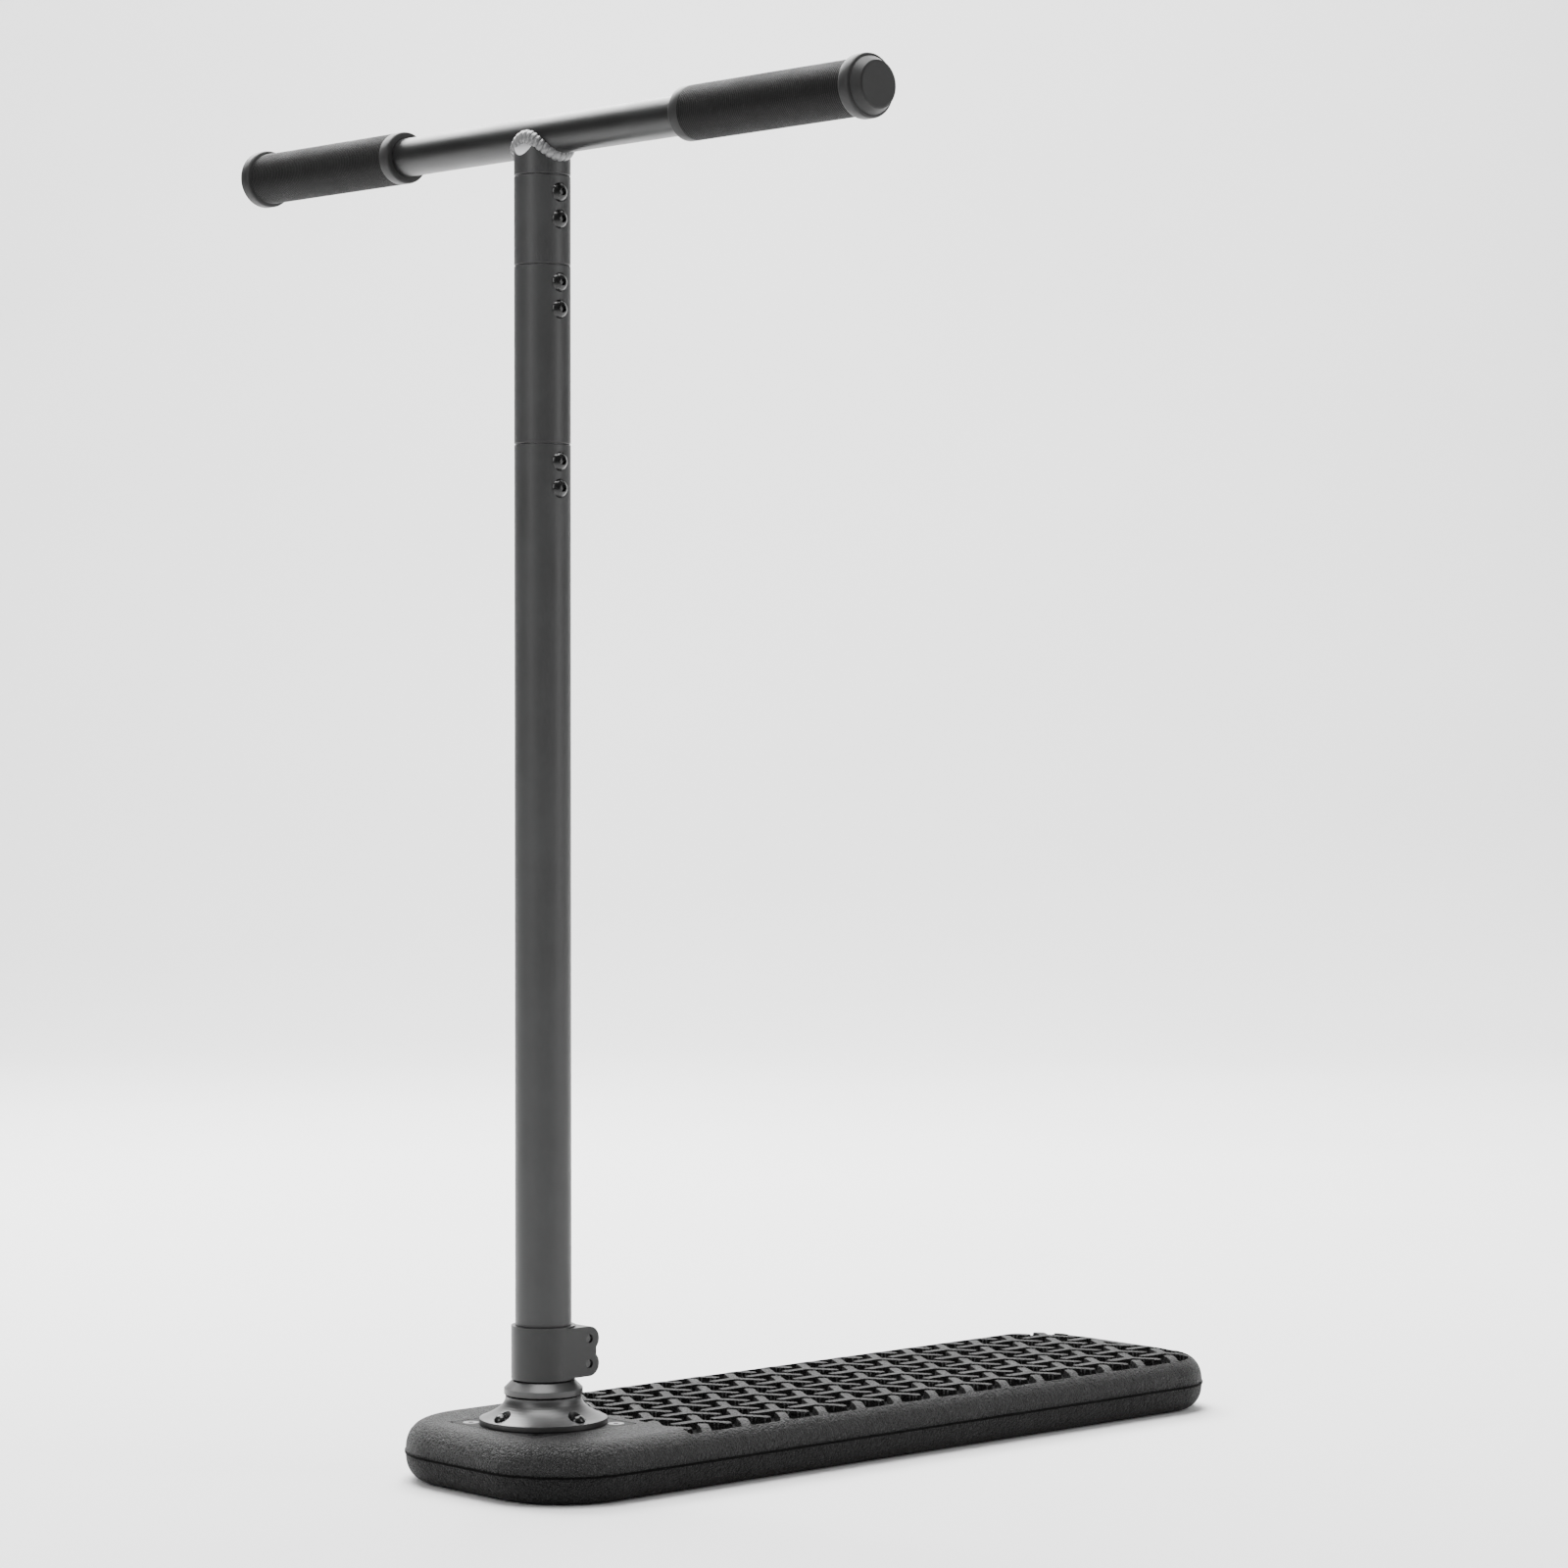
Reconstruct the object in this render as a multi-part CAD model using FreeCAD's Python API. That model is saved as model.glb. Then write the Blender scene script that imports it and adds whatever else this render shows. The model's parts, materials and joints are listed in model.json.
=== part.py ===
"""Trampoline scooter: a foam deck with a swivelling T-handlebar, as an assembly of separate pieces.

Units are millimetres. The origin is on the steering axis at floor level, +X runs rearwards along
the deck, +Y to the rider's right, +Z up. Each piece is written as parts/NAME.step.
"""

import FreeCAD, Part
import math
import os

V = FreeCAD.Vector

# ---- deck foam ----
DECK_FRONT, DECK_REAR = -62.7, 483.3
DECK_HALF_WIDTH = 83.0
CORNER_FRONT, CORNER_REAR = 55.0, 39.0
DECK_TOP, SEAM_Z = 34.0, 16.5
EDGE_ROUND_TOP, EDGE_ROUND_BOTTOM = 14.5, 13.0
BEAD_PROUD, BEAD_HALF_HEIGHT, BEAD_DEPTH = 0.6, 0.6, 1.4

# ---- tread moulded into the top ----
TREAD_DEPTH = 4.0
TREAD_FRONT, TREAD_REAR = 44.0, 466.0
TREAD_HALF_WIDTH, TREAD_REAR_RADIUS = 66.5, 26.0
STAR_PITCH, STAR_ROW = 29.65, 25.6
STAR_ROW_Y, STAR_FIRST_X = -2.0, 69.4
STAR_ARM, STAR_ARM_WIDTH = 20.0, 6.5

# ---- stiffening inside the foam ----
BOARD_BOTTOM, BOARD_TOP, BOARD_INSET = 10.0, 22.0, 12.0
BACKING_SIZE, BACKING_BOTTOM = 80.0, 6.0

# ---- base plate ----
PLATE_SIZE, PLATE_TOP, PLATE_CORNER = 75.0, 33.9, 3.0
PLATE_SCREW_OFFSET, PLATE_SCREW_HEAD, PLATE_SCREW = 29.0, 4.6, 2.5

# ---- bearing cup ----
CUP_RIM, CUP_RIM_TOP, CUP_TOP = 36.0, 37.2, 49.7
CUP_NECK, CUP_FLARE = 21.4, 2.2
CUP_BARREL, CUP_BARREL_BOTTOM, CUP_BORE, CUP_WAIST = 19.0, 14.0, 16.01, 14.6
CUP_BOLT_RADIUS, CUP_BOLT_HEAD, CUP_BOLT, CUP_POCKET, CUP_POCKET_Z = 30.0, 4.6, 2.5, 5.1, 38.8

# ---- two ball bearings, 20 x 32 x 7 ----
RACE_BORE, RACE_OUTSIDE, RACE_WIDTH = 10.0, 16.0, 7.0
UPPER_BEARING_Z, LOWER_BEARING_Z = 42.7, 20.0
BALL_PITCH, BALL, GROOVE, BALL_COUNT = 13.0, 1.75, 1.80, 13
INNER_SHOULDER, OUTER_SHOULDER = 11.9, 14.1

# ---- rotating spindle and its hardware ----
SPINDLE, SPINDLE_BOTTOM, STEERER, STEERER_TOP = 9.985, 20.6, 14.25, 140.0
SPINDLE_COLLAR = 12.4
RETAINING_BOLT, RETAINING_HEAD = 4.0, 6.5
CROWN_RADIUS, CROWN_BOTTOM, CROWN_SIDE_TOP, CROWN_TOP = 22.25, 50.6, 54.5, 58.6
CROWN_NECK = 17.6
SEAL_RADIUS, SEAL_TOP = 16.9, 59.4

# ---- clamp collar ----
COLLAR_BOTTOM, COLLAR_TOP, COLLAR_RADIUS = 59.4, 89.4, 18.2
COLLAR_BOLT_X, COLLAR_LOBE, COLLAR_BOLT_SPACING, COLLAR_SLOT = 18.6, 7.0, 14.1, 2.5
CLAMP_BOLT, CLAMP_HEAD, CLAMP_HEAD_HEIGHT = 2.5, 4.25, 5.0

# ---- pole in bolted sections ----
POLE, POLE_BORE = 15.9, 14.3
SEAM_LOWER, SEAM_MIDDLE, SEAM_UPPER = 584.7, 684.8, 735.0
SPIGOT, SPIGOT_BORE = 14.25, 11.2
JOINT_SCREW, JOINT_HEAD, JOINT_HEAD_HEIGHT = 3.0, 5.25, 3.3
JOINT_SCREW_DROPS, JOINT_SEAT = (10.0, 25.0), 15.4
SEAM_BEVEL, SEAM_GAP = 0.45, 0.25
STUB_TOP, STUB_BORE_TOP = 753.5, 743.5

# ---- handlebar ----
BAR, BAR_BORE, BAR_Z = 11.1, 9.1, 757.5
GRIP_START, GRIP_END = 124.5, 268.5
GRIP, GRIP_FLANGE, GRIP_BAND, GRIP_FLANGE_WIDTH = 15.0, 17.0, 8.0, 8.0
RIB_PITCH, RIB_DEPTH = 1.5, 0.5
PLUG_END, PLUG_START, PLUG_TIP = 274.2, 15.25, 12.0
WELD_RADIUS, WELD_REACH_X, WELD_REACH_Y, WELD_TOP = 14.7, 15.2, 19.2, 760.5


def cylinder(radius, low, high, x=0.0, y=0.0):
    return Part.makeCylinder(radius, high - low, V(x, y, low))


def cylinder_y(radius, y_low, y_high, x=0.0, z=0.0):
    return Part.makeCylinder(radius, y_high - y_low, V(x, y_low, z), V(0, 1, 0))


def ring(outer, inner, low, high):
    return cylinder(outer, low, high).cut(cylinder(inner, low - 1, high + 1))


def box(x0, x1, y0, y1, z0, z1):
    return Part.makeBox(x1 - x0, y1 - y0, z1 - z0, V(x0, y0, z0))


def turned(profile, about_y=False):
    """A solid of revolution from (radius, height) corners, about Z or about Y."""
    if about_y:
        corners = [V(r, h, 0) for r, h in profile]
        axis = V(0, 1, 0)
    else:
        corners = [V(r, 0, h) for r, h in profile]
        axis = V(0, 0, 1)
    face = Part.Face(Part.makePolygon(corners + [corners[0]]))
    solid = face.revolve(V(0, 0, 0), axis, 360)
    if solid.Volume < 0:
        solid.reverse()
    return solid


def rounded_outline(x0, x1, half_width, front_radius, rear_radius, z):
    """The deck's plan outline: a rectangle with its own corner radius at each end."""
    w, f, r = half_width, front_radius, rear_radius
    k = math.sqrt(0.5)

    def arc(cx, cy, radius, sx, sy, swap):
        ends = [V(cx + sx * radius, cy, z), V(cx + sx * k * radius, cy + sy * k * radius, z),
                V(cx, cy + sy * radius, z)]
        return Part.Arc(*(ends[::-1] if swap else ends)).toShape()

    edges = [
        Part.makeLine(V(x0, w - f, z), V(x0, f - w, z)),
        arc(x0 + f, f - w, f, -1, -1, False),
        Part.makeLine(V(x0 + f, -w, z), V(x1 - r, -w, z)),
        arc(x1 - r, r - w, r, 1, -1, True),
        Part.makeLine(V(x1, r - w, z), V(x1, w - r, z)),
        arc(x1 - r, w - r, r, 1, 1, False),
        Part.makeLine(V(x1 - r, w, z), V(x0 + f, w, z)),
        arc(x0 + f, w - f, f, -1, 1, True),
    ]
    return Part.Face(Part.Wire(edges))


def deck_slab(inset, low, high):
    face = rounded_outline(DECK_FRONT + inset, DECK_REAR - inset, DECK_HALF_WIDTH - inset,
                           CORNER_FRONT - inset, CORNER_REAR - inset, low)
    return face.extrude(V(0, 0, high - low))


def round_edges(solid, radius, z):
    """Round every edge that lies in the plane at height z."""
    edges = [e for e in solid.Edges
             if abs(e.BoundBox.ZMin - z) < 1e-6 and abs(e.BoundBox.ZMax - z) < 1e-6]
    return solid.makeFillet(radius, edges)


def seam_ring():
    """The thin moulded bead along the parting line."""
    outer = deck_slab(0.0, SEAM_Z - BEAD_HALF_HEIGHT, SEAM_Z + BEAD_HALF_HEIGHT)
    inner = deck_slab(BEAD_DEPTH, SEAM_Z - BEAD_HALF_HEIGHT - 1, SEAM_Z + BEAD_HALF_HEIGHT + 1)
    return outer.cut(inner)


def star_face(x, y, z):
    """One three-armed tread star, an arm forwards and two slanting back."""
    w = STAR_ARM_WIDTH / 2
    straight = STAR_ARM - w
    notch = w / math.sin(math.radians(60))
    edges = []
    for arm in range(3):
        a = math.radians(180 + 120 * arm)
        along, side = V(math.cos(a), math.sin(a), 0), V(-math.sin(a), math.cos(a), 0)
        turn = math.radians(180 + 120 * arm - 60)
        turn_next = math.radians(180 + 120 * arm + 60)
        c = V(x, y, z)
        start = c + V(math.cos(turn), math.sin(turn), 0) * notch
        end = c + V(math.cos(turn_next), math.sin(turn_next), 0) * notch
        right, left, tip = c + along * straight - side * w, c + along * straight + side * w, \
            c + along * STAR_ARM
        edges += [Part.makeLine(start, right), Part.Arc(right, tip, left).toShape(),
                  Part.makeLine(left, end)]
    return Part.Face(Part.Wire(edges))


def tread_pockets():
    """The recess between the stars, as one solid to take out of the top shell."""
    z = DECK_TOP - TREAD_DEPTH
    area = rounded_outline(TREAD_FRONT, TREAD_REAR, TREAD_HALF_WIDTH, 1.5, TREAD_REAR_RADIUS, z)
    stars = []
    for row in range(-3, 4):
        y = STAR_ROW_Y + STAR_ROW * row
        first = STAR_FIRST_X - (STAR_PITCH / 2 if row % 2 else 0) - STAR_PITCH
        for k in range(17):
            x = first + STAR_PITCH * k
            if x < TREAD_REAR + 12:
                stars.append(star_face(x, y, z))
    return area.cut(stars).extrude(V(0, 0, TREAD_DEPTH + 1))


def foam_shells():
    upper = round_edges(deck_slab(BEAD_PROUD, SEAM_Z, DECK_TOP), EDGE_ROUND_TOP, DECK_TOP)
    lower = round_edges(deck_slab(BEAD_PROUD, 0, SEAM_Z), EDGE_ROUND_BOTTOM, 0)
    bead = seam_ring()
    half = PLATE_SIZE / 2 + 0.1
    upper = upper.cut([bead, deck_slab(BOARD_INSET, SEAM_Z - 1, BOARD_TOP),
                       box(-half, half, -half, half, SEAM_Z, DECK_TOP + 1), tread_pockets()])
    back = BACKING_SIZE / 2
    lower = lower.cut([bead, deck_slab(BOARD_INSET, BOARD_BOTTOM, SEAM_Z + 1),
                       box(-back, back, -back, back, BACKING_BOTTOM, BOARD_BOTTOM)])
    return upper, lower, bead


def at_corners(offset):
    return [(sx * offset, sy * offset) for sx in (-1, 1) for sy in (-1, 1)]


def on_circle(radius):
    return [(radius, 0), (0, radius), (-radius, 0), (0, -radius)]


def socket_cut(x, y, z, across_flats, depth):
    """A hexagon socket opening upwards at z."""
    r = across_flats / math.sqrt(3)
    corners = [V(x + r * math.cos(math.radians(60 * i)), y + r * math.sin(math.radians(60 * i)), z - depth)
               for i in range(7)]
    return Part.Face(Part.makePolygon(corners)).extrude(V(0, 0, depth + 1))


def button_screw(head, head_height, shank, length, across_flats):
    """A button-head socket screw along -Z with its seat at z = 0."""
    crown = (head * head + head_height * head_height) / (2 * head_height)
    dome = Part.makeSphere(crown, V(0, 0, head_height - crown))
    top = cylinder(head, 0, head_height).common(dome)
    body = top.fuse(cylinder(shank, -length, 0.2)).removeSplitter()
    return body.cut(socket_cut(0, 0, head_height, across_flats, head_height * 0.6))


def countersunk_screw(head, shank, length, across_flats):
    """A flat socket screw along -Z with its top at z = 0."""
    cone = Part.makeCone(shank, head, head - shank, V(0, 0, shank - head - 0.4))
    body = cone.fuse([cylinder(head, -0.4, 0), cylinder(shank, -length, shank - head)]).removeSplitter()
    return body.cut(socket_cut(0, 0, 0, across_flats, 2.2))


def placed(shape, position, direction=V(0, 0, 1)):
    copy = shape.copy()
    copy.Placement = FreeCAD.Placement(position, FreeCAD.Rotation(V(0, 0, 1), direction))
    return copy


def core_board():
    board = deck_slab(BOARD_INSET, BOARD_BOTTOM, BOARD_TOP)
    holes = [cylinder(CUP_BARREL + 0.1, BOARD_BOTTOM - 1, BOARD_TOP + 1)]
    holes += [cylinder(PLATE_SCREW + 0.25, BOARD_BOTTOM - 1, BOARD_TOP + 1, x, y)
              for x, y in at_corners(PLATE_SCREW_OFFSET)]
    return board.cut(holes)


def base_plate():
    half = PLATE_SIZE / 2
    plate = box(-half, half, -half, half, BOARD_TOP, PLATE_TOP)
    upright = [e for e in plate.Edges if abs(e.BoundBox.ZLength - (PLATE_TOP - BOARD_TOP)) < 1e-6]
    plate = plate.makeFillet(PLATE_CORNER, upright)
    plate = round_edges(plate, 0.6, PLATE_TOP)
    cuts = [cylinder(CUP_BARREL + 0.05, BOARD_TOP - 1, PLATE_TOP + 1)]
    for x, y in at_corners(PLATE_SCREW_OFFSET):
        cuts.append(cylinder(PLATE_SCREW + 0.25, BOARD_TOP - 1, PLATE_TOP + 1, x, y))
        cuts.append(Part.makeCone(PLATE_SCREW, PLATE_SCREW_HEAD + 0.05,
                                  PLATE_SCREW_HEAD + 0.05 - PLATE_SCREW,
                                  V(x, y, PLATE_TOP - 0.4 - PLATE_SCREW_HEAD + PLATE_SCREW - 0.05)))
        cuts.append(cylinder(PLATE_SCREW_HEAD + 0.05, PLATE_TOP - 0.4, PLATE_TOP + 1, x, y))
    for x, y in on_circle(CUP_BOLT_RADIUS):
        cuts.append(cylinder(CUP_BOLT + 0.02, PLATE_TOP - 9.5, PLATE_TOP + 1, x, y))
    return plate.cut(cuts)


def base_plate_screws():
    screw = countersunk_screw(PLATE_SCREW_HEAD, PLATE_SCREW, PLATE_TOP - BACKING_BOTTOM - 0.4, 3.0)
    return [placed(screw, V(x, y, PLATE_TOP)) for x, y in at_corners(PLATE_SCREW_OFFSET)]


def backing_plate():
    half = BACKING_SIZE / 2 - 0.2
    plate = box(-half, half, -half, half, BACKING_BOTTOM, BOARD_BOTTOM)
    cuts = [cylinder(PLATE_SCREW + 0.02, BACKING_BOTTOM - 1, BOARD_BOTTOM + 1, x, y)
            for x, y in at_corners(PLATE_SCREW_OFFSET)]
    return plate.cut(cuts)


def cup_flare(height_share):
    """The cup's outer radius, falling in a hollow curve from the rim to the neck."""
    return CUP_NECK + (CUP_RIM - CUP_NECK) * (1 - height_share) ** CUP_FLARE


def bearing_cup():
    steps = 10
    flare = [(cup_flare(i / steps), CUP_RIM_TOP + (CUP_TOP - CUP_RIM_TOP) * i / steps)
             for i in range(steps + 1)]
    body = turned([(CUP_WAIST, CUP_BARREL_BOTTOM), (CUP_BARREL, CUP_BARREL_BOTTOM),
                   (CUP_BARREL, PLATE_TOP), (CUP_RIM - 0.4, PLATE_TOP),
                   (CUP_RIM, PLATE_TOP + 0.4)] + flare
                  + [(CUP_WAIST, CUP_TOP)])
    cuts = [cylinder(CUP_BORE, UPPER_BEARING_Z, CUP_TOP + 1),
            cylinder(CUP_BORE, CUP_BARREL_BOTTOM - 1, LOWER_BEARING_Z + RACE_WIDTH)]
    for x, y in on_circle(CUP_BOLT_RADIUS):
        cuts.append(cylinder(CUP_BOLT + 0.25, PLATE_TOP - 1, CUP_POCKET_Z + 1, x, y))
        cuts.append(cylinder(CUP_POCKET, CUP_POCKET_Z, CUP_TOP, x, y))
    return body.cut(cuts)


def cup_bolts():
    bolt = button_screw(CUP_BOLT_HEAD, 3.4, CUP_BOLT, 13.4, 3.0)
    return [placed(bolt, V(x, y, CUP_POCKET_Z)) for x, y in on_circle(CUP_BOLT_RADIUS)]


def groove(z):
    return Part.makeTorus(BALL_PITCH, GROOVE, V(0, 0, z + RACE_WIDTH / 2))


def outer_race(z):
    return ring(RACE_OUTSIDE, OUTER_SHOULDER, z, z + RACE_WIDTH).cut(groove(z))


def inner_race(z):
    return ring(INNER_SHOULDER, RACE_BORE, z, z + RACE_WIDTH).cut(groove(z))


def ball_positions():
    step = 2 * math.pi / BALL_COUNT
    return [(BALL_PITCH * math.cos(step * i), BALL_PITCH * math.sin(step * i)) for i in range(BALL_COUNT)]


def balls(z):
    mid = z + RACE_WIDTH / 2
    return [Part.makeSphere(BALL, V(x, y, mid)) for x, y in ball_positions()]


def ball_cage(z):
    mid = z + RACE_WIDTH / 2
    cage = ring(13.6, 12.4, mid - 2.6, mid + 2.6)
    return cage.cut([Part.makeCylinder(BALL + 0.08, 20, V(0, 0, mid), V(x, y, 0)) for x, y in ball_positions()])


def spindle():
    shaft = turned([(0, SPINDLE_BOTTOM), (SPINDLE, SPINDLE_BOTTOM),
                    (SPINDLE, UPPER_BEARING_Z + RACE_WIDTH),
                    (SPINDLE_COLLAR, UPPER_BEARING_Z + RACE_WIDTH), (SPINDLE_COLLAR, CROWN_TOP),
                    (STEERER, CROWN_TOP), (STEERER, STEERER_TOP - 1.5),
                    (STEERER - 1.5, STEERER_TOP), (0, STEERER_TOP)])
    bolt_hole = cylinder(RETAINING_BOLT + 0.02, SPINDLE_BOTTOM - 1, SPINDLE_BOTTOM + 20)
    lightening = cylinder(9.5, 70, STEERER_TOP + 1)
    return shaft.cut([bolt_hole, lightening])


def bearing_spacer():
    return ring(INNER_SHOULDER, RACE_BORE + 0.2, LOWER_BEARING_Z + RACE_WIDTH, UPPER_BEARING_Z)


def retaining_washer():
    return ring(INNER_SHOULDER, RETAINING_BOLT + 0.2, LOWER_BEARING_Z - 2, LOWER_BEARING_Z)


def retaining_bolt():
    head_top = LOWER_BEARING_Z - 2
    head = cylinder(RETAINING_HEAD, head_top - 5.0, head_top)
    body = head.fuse(cylinder(RETAINING_BOLT, head_top - 0.2, head_top + 20)).removeSplitter()
    socket = socket_cut(0, 0, 3.2, 6.0, 3.2)
    socket.translate(V(0, 0, head_top - 5.0 - 1.0 + 0.8))
    return body.cut(socket)


def crown_cover():
    return turned([(SPINDLE_COLLAR + 0.02, CROWN_BOTTOM + 0.4), (18.6, CROWN_BOTTOM + 0.4),
                   (18.6, CROWN_BOTTOM), (CROWN_RADIUS - 0.4, CROWN_BOTTOM),
                   (CROWN_RADIUS, CROWN_BOTTOM + 0.4), (CROWN_RADIUS, CROWN_SIDE_TOP - 0.4),
                   (CROWN_RADIUS - 0.4, CROWN_SIDE_TOP), (CROWN_NECK + 0.4, CROWN_TOP - 0.3),
                   (CROWN_NECK - 0.1, CROWN_TOP), (SPINDLE_COLLAR + 0.02, CROWN_TOP)])


def seal_ring():
    return ring(SEAL_RADIUS, STEERER + 0.05, CROWN_TOP, SEAL_TOP)


def collar_bolt_heights():
    middle = (COLLAR_BOTTOM + COLLAR_TOP) / 2
    return [middle - COLLAR_BOLT_SPACING / 2, middle + COLLAR_BOLT_SPACING / 2]


def clamp_collar():
    r = COLLAR_RADIUS
    body = cylinder(r, COLLAR_BOTTOM, COLLAR_TOP)
    lobes = [cylinder_y(COLLAR_LOBE, -r, r, COLLAR_BOLT_X, z) for z in collar_bolt_heights()]
    web = box(0, COLLAR_BOLT_X, -r, r, collar_bolt_heights()[0] - COLLAR_LOBE,
              collar_bolt_heights()[1] + COLLAR_LOBE)
    neck = box(COLLAR_BOLT_X, COLLAR_BOLT_X + 5.0, -r, r, collar_bolt_heights()[0],
               collar_bolt_heights()[1])
    body = body.fuse(lobes + [web, neck]).removeSplitter()
    cuts = [cylinder(POLE + 0.02, COLLAR_BOTTOM - 1, COLLAR_TOP + 1),
            box(POLE - 2, COLLAR_BOLT_X + 10, -COLLAR_SLOT / 2, COLLAR_SLOT / 2,
                COLLAR_BOTTOM - 1, COLLAR_TOP + 1)]
    for z in collar_bolt_heights():
        cuts.append(cylinder_y(CLAMP_BOLT + 0.15, 0, r + 1, COLLAR_BOLT_X, z))
        cuts.append(cylinder_y(CLAMP_HEAD + 0.25, r - CLAMP_HEAD_HEIGHT - 0.6, r + 1, COLLAR_BOLT_X, z))
        cuts.append(cylinder_y(CLAMP_BOLT + 0.02, -r - 1, 0, COLLAR_BOLT_X, z))
    return body.cut(cuts)


def clamp_bolts():
    """Two socket-head screws whose tips stop just short of the far face."""
    seat = COLLAR_RADIUS - CLAMP_HEAD_HEIGHT - 0.6
    bolts = []
    for z in collar_bolt_heights():
        head = cylinder(CLAMP_HEAD, 0, CLAMP_HEAD_HEIGHT)
        body = head.fuse(cylinder(CLAMP_BOLT, -seat - COLLAR_RADIUS + 1.1, 0.2)).removeSplitter()
        body = body.cut(socket_cut(0, 0, CLAMP_HEAD_HEIGHT, 4.0, 2.6))
        bolts.append(placed(body, V(COLLAR_BOLT_X, seat, z), V(0, 1, 0)))
    return bolts


def joint_screw_heights(seam):
    return [seam - drop for drop in JOINT_SCREW_DROPS]


def screw_seats(seam):
    """Spot faces and clearance holes for one pair of joint screws, facing -Y."""
    cuts = []
    for z in joint_screw_heights(seam):
        cuts.append(cylinder_y(JOINT_HEAD + 0.2, -POLE - 1, -JOINT_SEAT, 0, z))
        cuts.append(cylinder_y(JOINT_SCREW + 0.1, -POLE - 1, -POLE_BORE + 2, 0, z))
    return cuts


def pole_section(low, high):
    """A length of pole whose ends are bevelled, so that each seam shows as a fine groove."""
    b = SEAM_BEVEL
    section = turned([(POLE_BORE, low), (POLE - b, low), (POLE, low + b), (POLE, high - b),
                      (POLE - b, high), (POLE_BORE, high)])
    return section.cut(screw_seats(high))


def main_tube():
    slit = box(POLE_BORE - 3, POLE + 1, -COLLAR_SLOT / 2, COLLAR_SLOT / 2,
               COLLAR_BOTTOM - 1, COLLAR_TOP + 4)
    return pole_section(COLLAR_BOTTOM, SEAM_LOWER).cut(slit)


def spigot(seam, below, above):
    sleeve = ring(SPIGOT, SPIGOT_BORE, seam - below, seam + above)
    taps = [cylinder_y(JOINT_SCREW + 0.02, -SPIGOT - 1, -SPIGOT_BORE + 2, 0, z)
            for z in joint_screw_heights(seam)]
    return sleeve.cut(taps)


def joint_screws(seam):
    screw = button_screw(JOINT_HEAD, JOINT_HEAD_HEIGHT, JOINT_SCREW, 6.0, 4.0)
    return [placed(screw, V(0, -JOINT_SEAT, z), V(0, -1, 0)) for z in joint_screw_heights(seam)]


def stub_blank():
    """The stub's outer form with a slanting land on its front and back."""
    low = SEAM_UPPER + SEAM_GAP
    blank = turned([(0, low), (POLE - SEAM_BEVEL, low), (POLE, low + SEAM_BEVEL), (POLE, STUB_TOP),
                    (0, STUB_TOP)])
    for side in (-1, 1):
        wedge = Part.Face(Part.makePolygon([
            V(side * 16.2, -20, 745.0), V(side * 12.6, -20, STUB_TOP + 0.3), V(side * 20, -20, STUB_TOP + 0.3),
            V(side * 20, -20, 745.0), V(side * 16.2, -20, 745.0)])).extrude(V(0, 40, 0))
        blank = blank.cut(wedge)
    return blank


def head_stub():
    bore = cylinder(POLE_BORE, SEAM_UPPER - 1, STUB_BORE_TOP)
    return stub_blank().cut([bore, cylinder_y(BAR, -40, 40, 0, BAR_Z)])


def crossbar():
    tube = cylinder_y(BAR, -GRIP_END, GRIP_END, 0, BAR_Z)
    return tube.cut(cylinder_y(BAR_BORE, -GRIP_END - 1, GRIP_END + 1, 0, BAR_Z))


def weld_bead():
    """The weld that fills the corner between the bar and the top of the pole."""
    plan = Part.Ellipse(V(0, 0, SEAM_UPPER), WELD_REACH_Y, WELD_REACH_X).toShape()
    plan.rotate(V(0, 0, SEAM_UPPER), V(0, 0, 1), 90)
    around_pole = Part.Face(Part.Wire([plan])).extrude(V(0, 0, WELD_TOP - SEAM_UPPER))
    around_bar = cylinder_y(WELD_RADIUS, -WELD_REACH_Y - 1, WELD_REACH_Y + 1, 0, BAR_Z)
    bead = around_pole.common(around_bar)
    return bead.cut([cylinder_y(BAR, -60, 60, 0, BAR_Z), stub_blank()])


def grip(side):
    """A ribbed rubber sleeve with a plain inner band and an outer flange."""
    profile = [(BAR + 0.02, GRIP_START), (GRIP - 0.8, GRIP_START), (GRIP, GRIP_START + 0.8),
               (GRIP, GRIP_START + GRIP_BAND)]
    ribs = int((GRIP_END - GRIP_FLANGE_WIDTH - GRIP_START - GRIP_BAND) / RIB_PITCH)
    for i in range(ribs):
        y = GRIP_START + GRIP_BAND + i * RIB_PITCH
        profile += [(GRIP - RIB_DEPTH, y + 0.25 * RIB_PITCH), (GRIP, y + RIB_PITCH)]
    flange = GRIP_END - GRIP_FLANGE_WIDTH
    profile += [(GRIP, flange - 0.2), (GRIP_FLANGE - 0.8, flange), (GRIP_FLANGE, flange + 0.8),
                (GRIP_FLANGE, GRIP_END - 0.8), (GRIP_FLANGE - 0.8, GRIP_END), (BAR + 0.02, GRIP_END)]
    return on_bar(profile, side)


def bar_plug(side):
    profile = [(0, GRIP_END - 18), (BAR_BORE - 0.5, GRIP_END - 18), (BAR_BORE - 0.02, GRIP_END - 16),
               (BAR_BORE - 0.02, GRIP_END), (PLUG_START, GRIP_END), (PLUG_START - 0.2, GRIP_END + 0.8),
               (PLUG_TIP + 0.6, PLUG_END - 0.5), (PLUG_TIP - 0.4, PLUG_END), (0, PLUG_END)]
    return on_bar(profile, side)


def on_bar(profile, side):
    shape = turned([(r, side * y) for r, y in profile], about_y=True)
    shape.translate(V(0, 0, BAR_Z))
    return shape


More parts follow.
